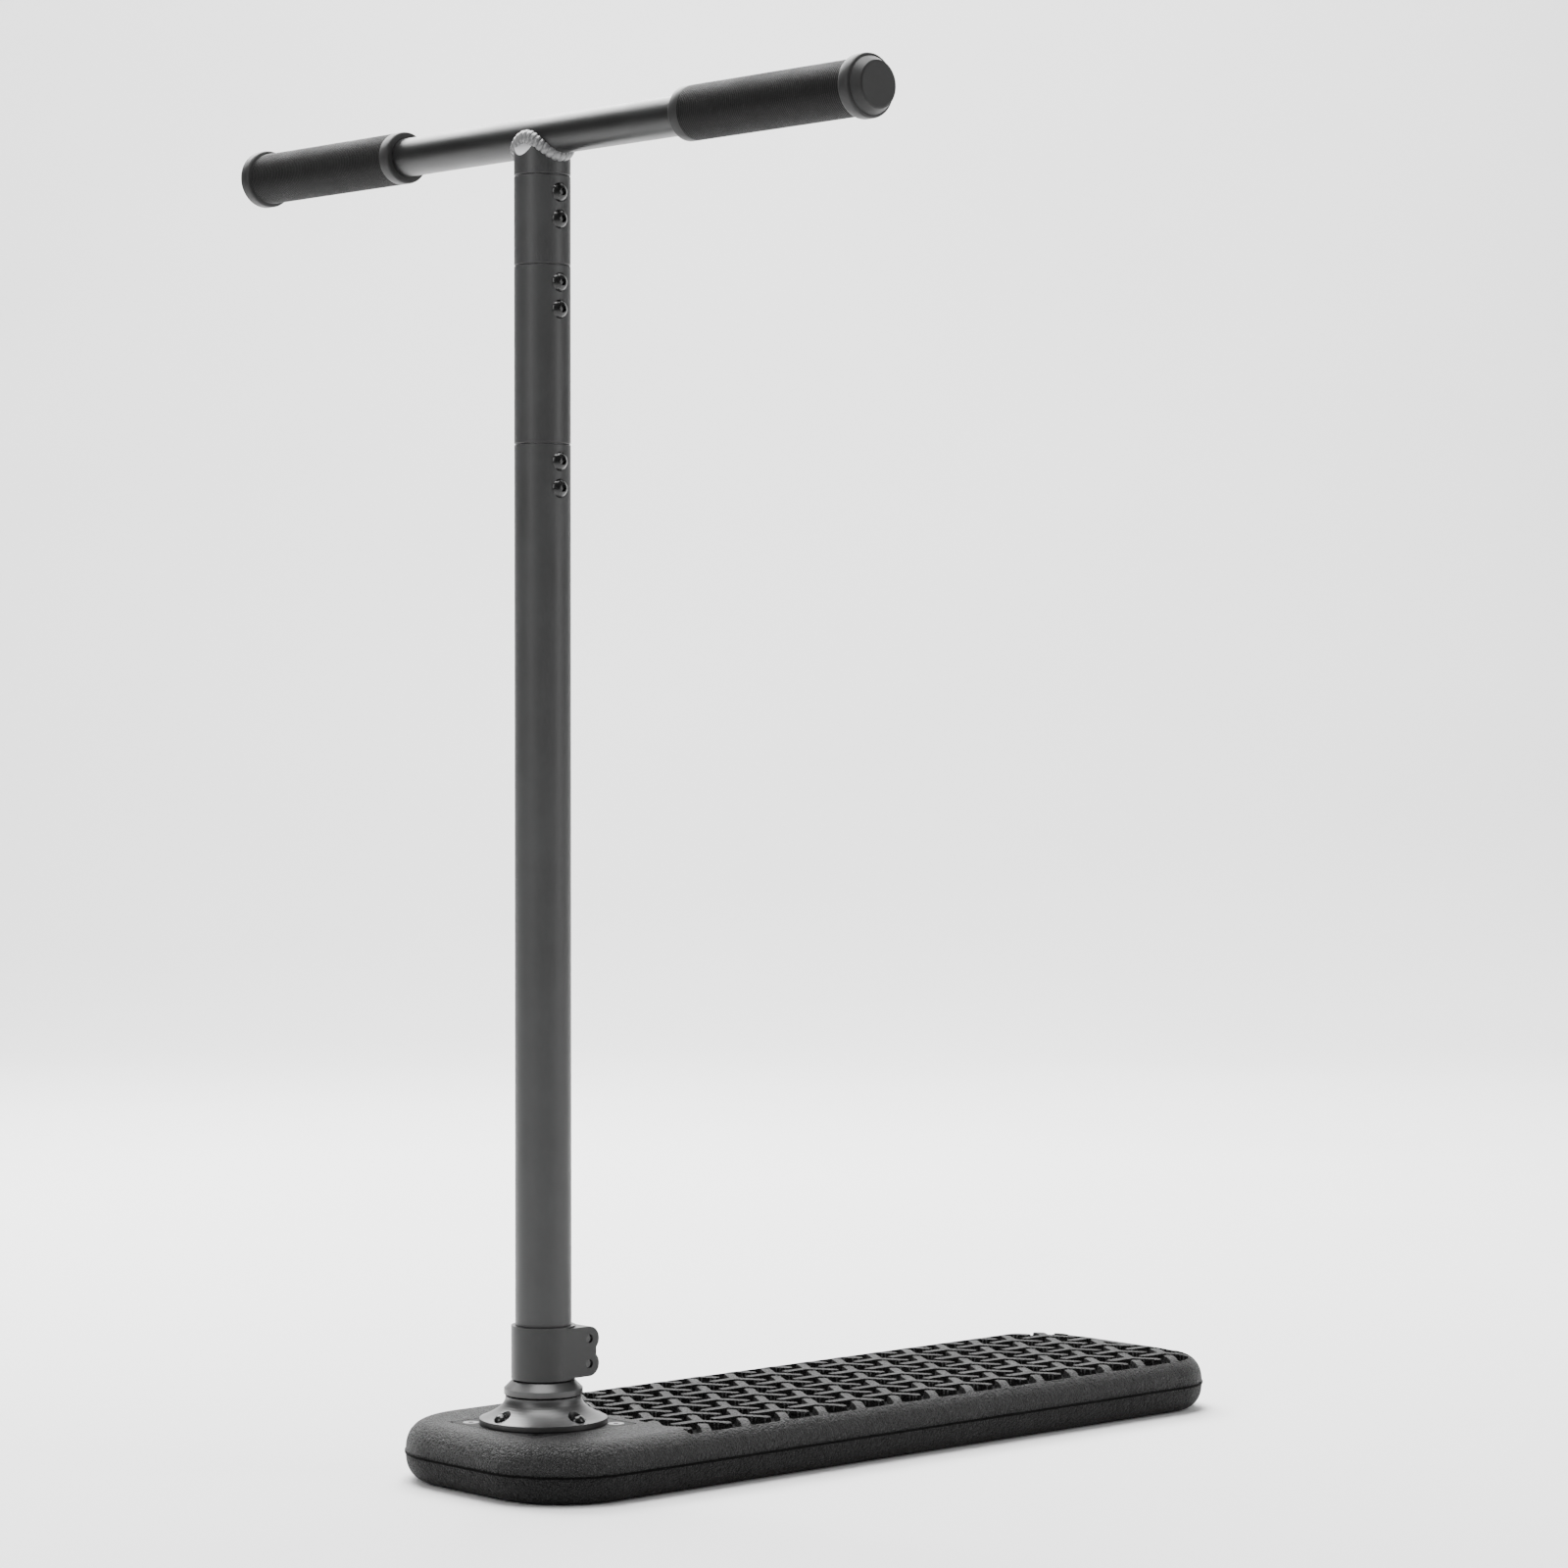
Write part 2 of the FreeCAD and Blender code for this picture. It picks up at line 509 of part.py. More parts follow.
def all_pieces():
    upper, lower, bead = foam_shells()
    right, left = 1, -1
    return {
        "upper_foam_shell": upper,
        "lower_foam_shell": lower,
        "seam_bead": bead,
        "core_board": core_board(),
        "base_plate": base_plate(),
        "base_plate_screws": base_plate_screws(),
        "backing_plate": backing_plate(),
        "bearing_cup": bearing_cup(),
        "cup_bolts": cup_bolts(),
        "upper_outer_race": outer_race(UPPER_BEARING_Z),
        "lower_outer_race": outer_race(LOWER_BEARING_Z),
        "upper_balls": balls(UPPER_BEARING_Z),
        "upper_ball_cage": ball_cage(UPPER_BEARING_Z),
        "lower_balls": balls(LOWER_BEARING_Z),
        "lower_ball_cage": ball_cage(LOWER_BEARING_Z),
        "spindle": spindle(),
        "upper_inner_race": inner_race(UPPER_BEARING_Z),
        "lower_inner_race": inner_race(LOWER_BEARING_Z),
        "bearing_spacer": bearing_spacer(),
        "retaining_washer": retaining_washer(),
        "retaining_bolt": retaining_bolt(),
        "crown_cover": crown_cover(),
        "seal_ring": seal_ring(),
        "clamp_collar": clamp_collar(),
        "clamp_bolts": clamp_bolts(),
        "main_tube": main_tube(),
        "extension_long": pole_section(SEAM_LOWER + SEAM_GAP, SEAM_MIDDLE),
        "extension_short": pole_section(SEAM_MIDDLE + SEAM_GAP, SEAM_UPPER),
        "lower_spigot": spigot(SEAM_LOWER, 40, 20),
        "middle_spigot": spigot(SEAM_MIDDLE, 40, 8),
        "upper_spigot": spigot(SEAM_UPPER, 38, 8),
        "lower_joint_screws": joint_screws(SEAM_LOWER),
        "middle_joint_screws": joint_screws(SEAM_MIDDLE),
        "upper_joint_screws": joint_screws(SEAM_UPPER),
        "head_stub": head_stub(),
        "crossbar": crossbar(),
        "weld_bead": weld_bead(),
        "grip_right": grip(right),
        "grip_left": grip(left),
        "bar_plug_right": bar_plug(right),
        "bar_plug_left": bar_plug(left),
    }


def single_solid(name, shape):
    """The one valid solid of a piece."""
    solids = shape.Solids
    if len(solids) != 1:
        raise ValueError(f"{name} has {len(solids)} solids")
    if not solids[0].isValid():
        raise ValueError(f"{name} is not valid")
    return solids[0]


os.makedirs("parts", exist_ok=True)
for name, shape in all_pieces().items():
    if isinstance(shape, list):
        piece = Part.makeCompound([single_solid(name, s) for s in shape])
    else:
        piece = single_solid(name, shape)
    piece.exportStep(f"parts/{name}.step")
    b = piece.BoundBox
    print(f"{name:22s} volume {piece.Volume:10.1f}  x {b.XMin:7.1f} {b.XMax:7.1f}"
          f"  y {b.YMin:7.1f} {b.YMax:7.1f}  z {b.ZMin:6.1f} {b.ZMax:6.1f}")
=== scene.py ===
"""Looks for the trampoline scooter: moulded foam, ribbed grips, weld ripples, materials, light and camera.

Metres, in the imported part's frame: origin on the steering axis at the floor, +X rearwards, +Z up.
"""

import json
import math

import bpy
import numpy as np
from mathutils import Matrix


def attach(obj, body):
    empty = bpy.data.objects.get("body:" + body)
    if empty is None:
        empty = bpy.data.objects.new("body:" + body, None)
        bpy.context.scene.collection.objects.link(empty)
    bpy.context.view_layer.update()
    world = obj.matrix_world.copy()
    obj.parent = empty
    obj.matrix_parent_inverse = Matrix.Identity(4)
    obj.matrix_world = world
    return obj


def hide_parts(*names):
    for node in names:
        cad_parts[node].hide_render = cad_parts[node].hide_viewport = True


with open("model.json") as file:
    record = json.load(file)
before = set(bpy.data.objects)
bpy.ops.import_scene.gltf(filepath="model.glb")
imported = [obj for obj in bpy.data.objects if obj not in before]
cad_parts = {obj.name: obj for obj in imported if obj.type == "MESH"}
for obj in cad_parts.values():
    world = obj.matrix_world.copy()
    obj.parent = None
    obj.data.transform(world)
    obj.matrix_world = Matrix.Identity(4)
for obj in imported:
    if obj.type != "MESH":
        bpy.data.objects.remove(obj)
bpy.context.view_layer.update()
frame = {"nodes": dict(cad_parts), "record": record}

MM = 0.001

# ---------------------------------------------------------------- sizes, in millimetres
DECK_FRONT, DECK_REAR, DECK_HALF_WIDTH = -62.1, 482.7, 82.4
CORNER_FRONT, CORNER_REAR = 54.4, 38.4
DECK_TOP, SEAM_Z = 34.0, 16.5
TOP_ROUND, TOP_POWER = 17.0, 2.45
BOTTOM_ROUND, BOTTOM_POWER = 15.0, 2.4
TREAD_DEPTH, TREAD_FRONT, TREAD_REAR, TREAD_CORNER = 4.0, 44.0, 473.5, 30.0
TREAD_LEFT, TREAD_RIGHT = 75.0, 78.5
REAR_PATCH_RUN, REAR_PATCH_Y, REAR_PATCH_HALF_WIDTH, REAR_PATCH_MARGIN = 8.0, -1.0, 17.0, 2.0
STAR_PITCH, STAR_ROW, STAR_ROW_Y, STAR_FIRST_X = 29.65, 25.6, -2.0, 69.4
STAR_ARM, STAR_HALF_WIDTH = 20.0, 3.2
PLATE_HALF = 37.6
BAR_Z, BAR = 757.5, 11.1
GRIP_START, GRIP_END, GRIP, GRIP_FLANGE = 124.5, 268.5, 15.0, 17.0
RIB_PITCH, RIB_DEPTH = 1.5, 0.55


# ---------------------------------------------------------------- meshes
def make_object(name, vertices, faces, smooth_angle=40):
    mesh = bpy.data.meshes.new(name)
    mesh.from_pydata([tuple(v) for v in np.asarray(vertices) * MM], [], faces)
    mesh.validate()
    mesh.update()
    mesh.polygons.foreach_set("use_smooth", [True] * len(mesh.polygons))
    mesh.set_sharp_from_angle(angle=math.radians(smooth_angle))
    piece = bpy.data.objects.new(name, mesh)
    bpy.context.scene.collection.objects.link(piece)
    return piece


def outline_inset(x, y):
    """How far a plan point lies inside the deck's outline, negative outside it."""
    middle = (DECK_FRONT + DECK_REAR) / 2
    radius = np.where(x < middle, CORNER_FRONT, CORNER_REAR)
    px = np.abs(x - middle) - ((DECK_REAR - DECK_FRONT) / 2 - radius)
    py = np.abs(y) - (DECK_HALF_WIDTH - radius)
    outside = np.hypot(np.maximum(px, 0), np.maximum(py, 0))
    return radius - outside - np.minimum(np.maximum(px, py), 0)


def away_from_edge(x, y):
    """The unit direction in which outline_inset grows."""
    step = 0.01
    gx = outline_inset(x + step, y) - outline_inset(x - step, y)
    gy = outline_inset(x, y + step) - outline_inset(x, y - step)
    length = np.maximum(np.hypot(gx, gy), 1e-9)
    return gx / length, gy / length


def roundover(inset, reach, power):
    """0 at the parting line, 1 where the face is flat."""
    t = np.clip(1 - inset / reach, 0, 1)
    return (1 - t ** power) ** (1 / power)


def star_distance(x, y):
    """Distance outside the nearest tread star, negative inside one."""
    best = np.full(x.shape, 1e9)
    for row in range(-3, 4):
        cy = STAR_ROW_Y + STAR_ROW * row
        shift = STAR_FIRST_X - (STAR_PITCH / 2 if row % 2 else 0)
        base = shift + STAR_PITCH * np.round((x - shift) / STAR_PITCH)
        for neighbour in (-1, 0, 1):
            dx, dy = x - base - neighbour * STAR_PITCH, y - cy
            for arm in range(3):
                a = math.radians(180 + 120 * arm)
                ax, ay = math.cos(a), math.sin(a)
                along = np.clip(dx * ax + dy * ay, 0, STAR_ARM - STAR_HALF_WIDTH)
                best = np.minimum(best, np.hypot(dx - along * ax, dy - along * ay) - STAR_HALF_WIDTH)
    return best


def tread_area_distance(x, y):
    """Distance inside the tread's border, negative on the plain margin."""
    px = np.maximum(TREAD_FRONT - x, x - TREAD_REAR)
    half_width = np.where(y > 0, TREAD_RIGHT, TREAD_LEFT)
    py = np.abs(y) - half_width
    plain = -np.maximum(px, py)
    qx, qy = x - (TREAD_REAR - TREAD_CORNER), np.abs(y) - (half_width - TREAD_CORNER)
    rounded = TREAD_CORNER - np.hypot(np.maximum(qx, 0), np.maximum(qy, 0))
    ahead = np.maximum(TREAD_REAR - REAR_PATCH_RUN - x, 0)
    aside = np.maximum(np.abs(y - REAR_PATCH_Y) - REAR_PATCH_HALF_WIDTH, 0)
    patch = np.hypot(ahead, aside) - REAR_PATCH_MARGIN
    return np.minimum(np.minimum(plain, np.where((qx > 0) & (qy > 0), rounded, 1e9)), patch)


def pocket_distance(x, y):
    """Positive in a tread pocket or under the base plate, negative on the raised foam."""
    tread = np.minimum(star_distance(x, y), tread_area_distance(x, y))
    plate = PLATE_HALF - np.maximum(np.abs(x), np.abs(y))
    return np.maximum(tread, plate)


def top_shell():
    """The moulded top: a plan grid whose lines are drawn onto the pocket edges, and a rounded rim."""
    cell, rim = 1.0, 2.8
    xs = np.arange(DECK_FRONT, DECK_REAR + cell, cell)
    ys = np.arange(-DECK_HALF_WIDTH, DECK_HALF_WIDTH + cell, cell)
    x, y = [a.copy() for a in np.meshgrid(xs, ys, indexing="ij")]
    inside = outline_inset(x, y) >= rim
    cells = inside[:-1, :-1] & inside[1:, :-1] & inside[:-1, 1:] & inside[1:, 1:]
    used = np.zeros(inside.shape, bool)
    for a in (slice(None, -1), slice(1, None)):
        for b in (slice(None, -1), slice(1, None)):
            used[a, b] |= cells
    interior = np.zeros(inside.shape, bool)
    interior[1:-1, 1:-1] = cells[:-1, :-1] & cells[1:, :-1] & cells[:-1, 1:] & cells[1:, 1:]
    edge = used & ~interior
    for _ in range(3):
        gx, gy = away_from_edge(x, y)
        move = np.where(edge, rim - outline_inset(x, y), 0)
        x, y = x + gx * move, y + gy * move
    for _ in range(3):
        d = pocket_distance(x, y)
        step = 0.02
        gx = (pocket_distance(x + step, y) - pocket_distance(x - step, y)) / (2 * step)
        gy = (pocket_distance(x, y + step) - pocket_distance(x, y - step)) / (2 * step)
        near = (np.abs(d - 0.2) < 0.52 * cell) & ~edge & (np.hypot(gx, gy) > 0.6)
        target = np.where(d < 0.2, -0.05, 0.5)
        x, y = x + np.where(near, gx * (target - d) * 0.9, 0), y + np.where(near, gy * (target - d) * 0.9, 0)
    d = pocket_distance(x, y)
    top = SEAM_Z + (DECK_TOP - SEAM_Z) * roundover(outline_inset(x, y), TOP_ROUND, TOP_POWER)
    sunk = np.clip((d + 0.05) / 0.5, 0, 1)
    crown = 0.12 * np.clip(1 - (-d) / 0.8, 0, 1) * (d < 0)
    floor = np.minimum(DECK_TOP - TREAD_DEPTH, top - 2.2)
    z = np.where(edge, top, top * (1 - sunk) + floor * sunk - crown * (np.abs(d) < 3))
    number = np.full(inside.shape, -1)
    number[used] = np.arange(used.sum())
    vertices = np.column_stack([x[used], y[used], z[used]])
    i, j = np.nonzero(cells)
    faces = np.column_stack([number[i, j], number[i + 1, j], number[i + 1, j + 1], number[i, j + 1]])
    faces = faces.tolist()

    loop = boundary_loop(faces)
    lx, ly = vertices[loop, 0], vertices[loop, 1]
    gx, gy = away_from_edge(lx, ly)
    reached = outline_inset(lx, ly)
    rows, previous, count = [vertices], loop, len(vertices)
    for inset in (2.4, 2.0, 1.45, 1.0, 0.62, 0.34, 0.15, 0.04, 0.0):
        height = SEAM_Z + (DECK_TOP - SEAM_Z) * roundover(np.full(len(loop), inset), TOP_ROUND, TOP_POWER)
        rows.append(np.column_stack([lx + gx * (inset - reached), ly + gy * (inset - reached), height]))
        current = list(range(count, count + len(loop)))
        faces += [[previous[k], current[k], current[(k + 1) % len(loop)], previous[(k + 1) % len(loop)]]
                  for k in range(len(loop))]
        previous, count = current, count + len(loop)
    faces.append(previous)
    piece = make_object("top_foam_moulded", np.vstack(rows), faces, 50)
    # Faces down in the pockets, marked for the painted shade foam.
    deep = [0] * len(piece.data.polygons)
    corners = sunk[i, j] + sunk[i + 1, j] + sunk[i + 1, j + 1] + sunk[i, j + 1]
    deep[:len(i)] = (corners > 1.0).astype(int).tolist()
    return piece, deep


def boundary_loop(faces):
    """The open edge of a grid, in order."""
    directed = {(f[k], f[(k + 1) % 4]) for f in faces for k in range(4)}
    following = {a: b for a, b in directed if (b, a) not in directed}
    first = next(iter(following))
    loop = [first]
    while following[loop[-1]] != first:
        loop.append(following[loop[-1]])
    return loop[::-1]


def outline_points(count=420):
    """Evenly turned points on the deck's outline."""
    points = []
    corners = [(DECK_REAR - CORNER_REAR, 1, CORNER_REAR, 0), (DECK_FRONT + CORNER_FRONT, 1, CORNER_FRONT, 90),
               (DECK_FRONT + CORNER_FRONT, -1, CORNER_FRONT, 180),
               (DECK_REAR - CORNER_REAR, -1, CORNER_REAR, 270)]
    per_corner = count // 4
    for cx, side, radius, first in corners:
        cy = side * (DECK_HALF_WIDTH - radius)
        for k in range(per_corner):
            a = math.radians(first + 90 * k / (per_corner - 1))
            points.append((cx + radius * math.cos(a), cy + radius * math.sin(a)))
    return np.array(points)


def bottom_shell():
    outline = outline_points()
    gx, gy = away_from_edge(outline[:, 0] - 1e-6, outline[:, 1])
    rows, faces, n = [], [], len(outline)
    insets = [0, 0.04, 0.15, 0.35, 0.65, 1.05, 1.6, 2.3, 3.2, 4.3, 5.6, 7.2, 9.0, 11.0, 13.0, 15.0]
    for inset in insets:
        height = SEAM_Z - SEAM_Z * roundover(np.full(n, float(inset)), BOTTOM_ROUND, BOTTOM_POWER)
        rows.append(np.column_stack([outline[:, 0] + gx * inset, outline[:, 1] + gy * inset, height]))
    for r in range(len(insets) - 1):
        for k in range(n):
            a, b = r * n + k, r * n + (k + 1) % n
            faces.append([a, a + n, b + n, b])
    faces.append(list(range((len(insets) - 1) * n, len(insets) * n))[::-1])
    faces.append(list(range(n)))
    return make_object("bottom_foam_moulded", np.vstack(rows), faces, 50)


def lathe_on_bar(name, profile, segments=96):
    """Turns (radius, y) points about the crossbar."""
    radii, along = np.array(profile).T
    angles = np.linspace(0, 2 * math.pi, segments, endpoint=False)
    x = np.outer(radii, np.cos(angles))
    z = BAR_Z + np.outer(radii, np.sin(angles))
    y = np.repeat(along[:, None], segments, axis=1)
    vertices = np.stack([x, y, z], axis=-1).reshape(-1, 3)
    faces = []
    for r in range(len(profile) - 1):
        for k in range(segments):
            a, b = r * segments + k, r * segments + (k + 1) % segments
            faces.append([a, b, b + segments, a + segments])
    first, last = list(range(segments)), list(range((len(profile) - 1) * segments, len(profile) * segments))
    faces += [[first[k], last[k], last[(k + 1) % segments], first[(k + 1) % segments]]
              for k in range(segments)]
    if along[-1] < along[0]:
        faces = [f[::-1] for f in faces]
    return make_object(name, vertices, faces, 60)


def ribbed_grip(name, side):
    """A rubber sleeve: rounded inner band, fine rounded ribs, and a rolled outer flange."""
    profile = [(BAR + 0.05, GRIP_START), (GRIP - 1.3, GRIP_START), (GRIP - 0.6, GRIP_START + 0.15),
               (GRIP - 0.15, GRIP_START + 0.55), (GRIP, GRIP_START + 1.3), (GRIP, GRIP_START + 7.6),
               (GRIP - 0.12, GRIP_START + 7.85)]
    first, flange = GRIP_START + 8.0, GRIP_END - 8.0
    ribs = int((flange - first - 0.4) / RIB_PITCH)
    for i in range(ribs):
        y = first + i * RIB_PITCH
        for share, drop in ((0.0, 1.0), (0.14, 1.0), (0.28, 0.45), (0.42, 0.1), (0.57, 0.0), (0.72, 0.1),
                            (0.86, 0.45)):
            profile.append((GRIP - RIB_DEPTH * drop, y + share * RIB_PITCH))
    profile += [(GRIP - RIB_DEPTH, first + ribs * RIB_PITCH), (GRIP - 0.3, flange - 0.1),
                (GRIP + 0.5, flange + 0.05), (GRIP + 1.3, flange + 0.2), (GRIP_FLANGE - 0.2, flange + 0.7),
                (GRIP_FLANGE, flange + 1.5), (GRIP_FLANGE, GRIP_END - 1.5),
                (GRIP_FLANGE - 0.2, GRIP_END - 0.7),
                (GRIP_FLANGE - 0.7, GRIP_END - 0.2), (GRIP_FLANGE - 1.4, GRIP_END), (BAR + 0.05, GRIP_END)]
    return lathe_on_bar(name, [(r, side * y) for r, y in profile])


def rippled_weld():
    """The weld along the corner of bar and pole, laid as overlapping ripples."""
    steps, around = 720, 28
    t = np.linspace(0, 2 * math.pi, steps, endpoint=False)
    c, s = np.cos(t), np.sin(t)
    scale = (np.abs(c) ** 2.6 + np.abs(s) ** 2.6) ** (-1 / 2.6)
    x, y = 11.0 * scale * c, 15.4 * scale * s
    centre = np.column_stack([x, y, BAR_Z - 1.0 - np.sqrt(np.maximum(11.1 ** 2 - x ** 2, 0)) + 1.0])
    ahead = np.roll(centre, -1, axis=0) - np.roll(centre, 1, axis=0)
    length = np.linalg.norm(ahead, axis=1)
    travelled = np.concatenate([[0], np.cumsum(np.linalg.norm(np.diff(centre, axis=0), axis=1))])
    ahead /= length[:, None]
    out = centre - np.array([0, 0, BAR_Z - 6.0])
    out[:, 2] = np.where(np.abs(x) > 9, 2.0, -6.0)
    out -= ahead * np.sum(out * ahead, axis=1)[:, None]
    out /= np.linalg.norm(out, axis=1)[:, None]
    side = np.cross(ahead, out)
    total = travelled[-1] + length[-1] / 2
    ripples = round(total / 2.9)
    rows = []
    for k in range(around):
        a = 2 * math.pi * k / around
        lag = 0.55 * (1 - math.cos(a)) / 2
        phase = (travelled / total * ripples + lag) % 1.0
        bump = np.sqrt(np.maximum(1 - (2 * phase - 1) ** 2, 0))
        radius = 3.3 + 0.95 * bump + 0.08 * np.sin(7 * t + 1.3)
        rows.append(centre + out * (math.cos(a) * radius)[:, None]
                    + side * (math.sin(a) * radius * 1.04)[:, None])
    vertices = np.stack(rows, axis=1).reshape(-1, 3)
    faces = []
    for i in range(steps):
        for k in range(around):
            a, b = i * around + k, i * around + (k + 1) % around
            c2, d2 = ((i + 1) % steps) * around + (k + 1) % around, ((i + 1) % steps) * around + k
            faces.append([a, d2, c2, b])
    return make_object("weld_ripples", vertices, faces, 70)


# ---------------------------------------------------------------- materials
class Recipe:
    """Builds one node material, with coordinates taken from the object itself."""

    def __init__(self, name):
        self.material = bpy.data.materials.new(name)
        self.material.use_nodes = True
        self.tree = self.material.node_tree
        self.shader = self.tree.nodes["Principled BSDF"]
        self.place = self.add("ShaderNodeTexCoord").outputs["Object"]

    def add(self, kind, **settings):
        node = self.tree.nodes.new(kind)
        for key, value in settings.items():
            setattr(node, key, value)
        return node

    def link(self, source, target):
        self.tree.links.new(source, target)

    def stretched(self, scale):
        node = self.add("ShaderNodeMapping")
        node.inputs["Scale"].default_value = scale
        self.link(self.place, node.inputs["Vector"])
        return node.outputs["Vector"]

    def noise(self, scale, detail=3.0, rough=0.55, vector=None):
        node = self.add("ShaderNodeTexNoise")
        node.inputs["Scale"].default_value = scale
        node.inputs["Detail"].default_value = detail
        node.inputs["Roughness"].default_value = rough
        self.link(vector or self.place, node.inputs["Vector"])
        return node.outputs["Fac"]

    def cells(self, scale, feature="F1", vector=None):
        node = self.add("ShaderNodeTexVoronoi", feature=feature)
        node.inputs["Scale"].default_value = scale
        self.link(vector or self.place, node.inputs["Vector"])
        return node.outputs["Distance"]

    def spread(self, value, low, high, out_low, out_high):
        node = self.add("ShaderNodeMapRange")
        for key, number in (("From Min", low), ("From Max", high), ("To Min", out_low), ("To Max", out_high)):
            node.inputs[key].default_value = number
        self.link(value, node.inputs["Value"])
        return node.outputs["Result"]

    def combine(self, a, b, operation="ADD"):
        node = self.add("ShaderNodeMath", operation=operation)
        self.link(a, node.inputs[0])
        if isinstance(b, (int, float)):
            node.inputs[1].default_value = b
        else:
            self.link(b, node.inputs[1])
        return node.outputs["Value"]

    def colour(self, value, stops):
        node = self.add("ShaderNodeValToRGB")
        ramp = node.color_ramp
        while len(ramp.elements) < len(stops):
            ramp.elements.new(0.5)
        for element, (position, colour) in zip(ramp.elements, stops):
            element.position = position
            element.color = (*colour, 1.0)
        self.link(value, node.inputs["Fac"])
        self.link(node.outputs["Color"], self.shader.inputs["Base Color"])

    def relief(self, height, strength, distance):
        node = self.add("ShaderNodeBump")
        node.inputs["Strength"].default_value = strength
        node.inputs["Distance"].default_value = distance
        self.link(height, node.inputs["Height"])
        self.link(node.outputs["Normal"], self.shader.inputs["Normal"])

    def painted_highlight_on_facets(self, colour):
        """Paints a highlight: swaps in a pale tone where a face high on the stub leans back."""
        facing = self.add("ShaderNodeSeparateXYZ")
        self.link(self.add("ShaderNodeNewGeometry").outputs["True Normal"], facing.inputs["Vector"])
        height = self.add("ShaderNodeSeparateXYZ")
        self.link(self.place, height.inputs["Vector"])
        leaning = self.spread(facing.outputs["Z"], 0.2, 0.3, 0.0, 1.0)
        steep = self.spread(facing.outputs["Z"], 0.6, 0.7, 1.0, 0.0)
        high = self.spread(height.outputs["Z"], 0.7440, 0.7445, 0.0, 1.0)
        mix = self.add("ShaderNodeMix", data_type="RGBA")
        self.link(self.combine(self.combine(leaning, steep, "MULTIPLY"), high, "MULTIPLY"),
                  mix.inputs["Factor"])
        base = self.shader.inputs["Base Color"]
        self.link(base.links[0].from_socket, mix.inputs["A"])
        mix.inputs["B"].default_value = (*colour, 1.0)
        self.link(mix.outputs["Result"], base)

    def rough(self, value, low, high):
        self.link(self.spread(value, 0.3, 0.7, low, high), self.shader.inputs["Roughness"])

    def set(self, **values):
        for key, value in values.items():
            self.shader.inputs[key.replace("_", " ")].default_value = value


def grey(value, tint=0.0):
    return (value * (1 - tint), value, value * (1 + tint))


def foam(name, level, roughness, shine=0.3):
    """Moulded foam: a pebbled leather-like skin over fine pores, with painted shade in its creases and a
    painted highlight on its pebble tops.
    """
    r = Recipe(name)
    pebble = r.spread(r.cells(480.0, "SMOOTH_F1"), 0.1, 0.7, 1.0, 0.0)
    crease = r.spread(r.cells(600.0, "DISTANCE_TO_EDGE"), 0.0, 0.2, 0.0, 1.0)
    pores = r.noise(2600.0, 2.0)
    wide = r.noise(14.0, 4.0)
    skin = r.combine(r.combine(pebble, 0.5, "MULTIPLY"), r.combine(crease, 0.5, "MULTIPLY"))
    r.relief(r.combine(skin, r.combine(pores, 0.15, "MULTIPLY")), 1.0, 0.0026)
    # Painted shade and highlight: the colour follows the pebble relief, darkest in the creases and lightest
    # on the pebble tops.
    r.colour(r.combine(skin, r.combine(wide, 0.3, "MULTIPLY")),
             [(0.2, grey(level * 0.3)), (0.7, grey(level)), (1.0, grey(level * 1.9, 0.02))])
    r.rough(r.combine(wide, r.combine(pores, 0.3, "MULTIPLY")), roughness - 0.05, roughness + 0.1)
    r.set(Specular_IOR_Level=shine, Sheen_Weight=0.02, Sheen_Roughness=0.5)
    return r.material


def rubber(name, level, roughness=0.6, shine=0.2):
    r = Recipe(name)
    fine = r.noise(1800.0, 3.0)
    wide = r.noise(45.0, 3.0)
    r.relief(fine, 0.35, 0.0001)
    r.colour(wide, [(0.3, grey(level * 0.8)), (0.7, grey(level * 1.2))])
    r.rough(wide, roughness - 0.06, roughness + 0.08)
    r.set(Specular_IOR_Level=shine)
    return r.material


def paint(name, level, roughness, coat=0.0, grain=900.0, relief=0.25, shine=0.35, highlight_facets=False):
    """Powder coat or satin lacquer: orange peel, dust-fine speckle and a soft wear.

    With highlight_facets, the slanting faces at the top of the stub get a painted highlight: they are left
    pale and satin."""
    r = Recipe(name)
    peel = r.noise(grain, 2.0)
    speckle = r.noise(3800.0, 1.0)
    wide = r.noise(22.0, 4.0)
    r.relief(r.combine(peel, r.combine(speckle, 0.4, "MULTIPLY")), relief, 0.00006)
    r.colour(r.combine(wide, r.combine(speckle, 0.25, "MULTIPLY")),
             [(0.35, grey(level * 0.85)), (0.9, grey(level * 1.2, 0.015))])
    r.rough(wide, roughness - 0.03, roughness + 0.05)
    r.set(Specular_IOR_Level=shine, Coat_Weight=coat, Coat_Roughness=0.12)
    if highlight_facets:
        r.painted_highlight_on_facets((0.5, 0.5, 0.51))
    return r.material


def bare_metal(name, colour, roughness, stretch=(60.0, 60.0, 2600.0)):
    """Turned or ground metal with fine tool lines."""
    r = Recipe(name)
    lines = r.noise(1.0, 4.0, 0.6, r.stretched(stretch))
    wide = r.noise(60.0, 3.0)
    r.relief(lines, 0.15, 0.00003)
    r.colour(wide, [(0.3, tuple(c * 0.85 for c in colour)), (0.7, colour)])
    r.rough(lines, roughness - 0.05, roughness + 0.1)
    r.set(Metallic=1.0)
    return r.material


